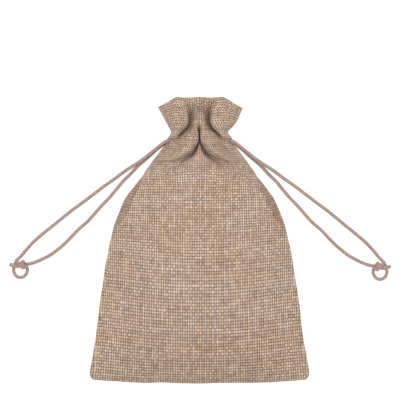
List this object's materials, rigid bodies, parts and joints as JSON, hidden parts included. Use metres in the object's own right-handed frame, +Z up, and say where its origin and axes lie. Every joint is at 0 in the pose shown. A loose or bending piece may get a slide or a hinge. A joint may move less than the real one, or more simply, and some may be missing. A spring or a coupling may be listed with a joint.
{
  "type": "drawstring gift pouch",
  "caption": "Small woven drawstring gift pouch lying flat, drawn closed at the neck, with two cord drawstrings knotted at their ends.",
  "frame": {"origin": "middle of the pouch's footprint on the surface it lies on, drawstrings left out", "axes": "+Y from the closed bottom seam towards the mouth, +Z up through the front panel, +X to the right seen from above with the mouth away from the viewer"},
  "size_m": [0.2297, 0.1695, 0.027],
  "materials": {
    "cloth": "matte plain weave",
    "cord": "round braided cord",
    "thread": "sewing thread"
  },
  "bodies": {
    "pouch": {"front_panel": "cloth", "back_panel": "cloth", "left_side_seam_thread": "thread", "right_side_seam_thread": "thread", "left_header_seam_thread": "thread", "right_header_seam_thread": "thread", "bottom_seam_thread": "thread", "left_seam_allowance": "cloth", "right_seam_allowance": "cloth", "bottom_seam_allowance": "cloth", "front_casing_lower_stitches": "thread", "front_casing_upper_stitches": "thread", "back_casing_lower_stitches": "thread", "back_casing_upper_stitches": "thread", "left_drawstring_channel_run": "cord", "right_drawstring_channel_run": "cord"},
    "left_drawstring": {"left_drawstring_upper_strand": "cord", "left_drawstring_lower_strand": "cord", "left_drawstring_knot": "cord", "left_drawstring_end_loop": "cord", "left_drawstring_tail": "cord"},
    "right_drawstring": {"right_drawstring_upper_strand": "cord", "right_drawstring_lower_strand": "cord", "right_drawstring_knot": "cord", "right_drawstring_end_loop": "cord", "right_drawstring_tail": "cord"}
  },
  "joints": [
    {"name": "left_drawstring_pull", "type": "slide", "parent": "pouch", "child": "left_drawstring", "axis": [-0.9659, -0.2588, 0], "range_m": [0, 0.008]},
    {"name": "right_drawstring_pull", "type": "slide", "parent": "pouch", "child": "right_drawstring", "axis": [0.9659, -0.2588, 0], "range_m": [0, 0.008]}
  ]
}
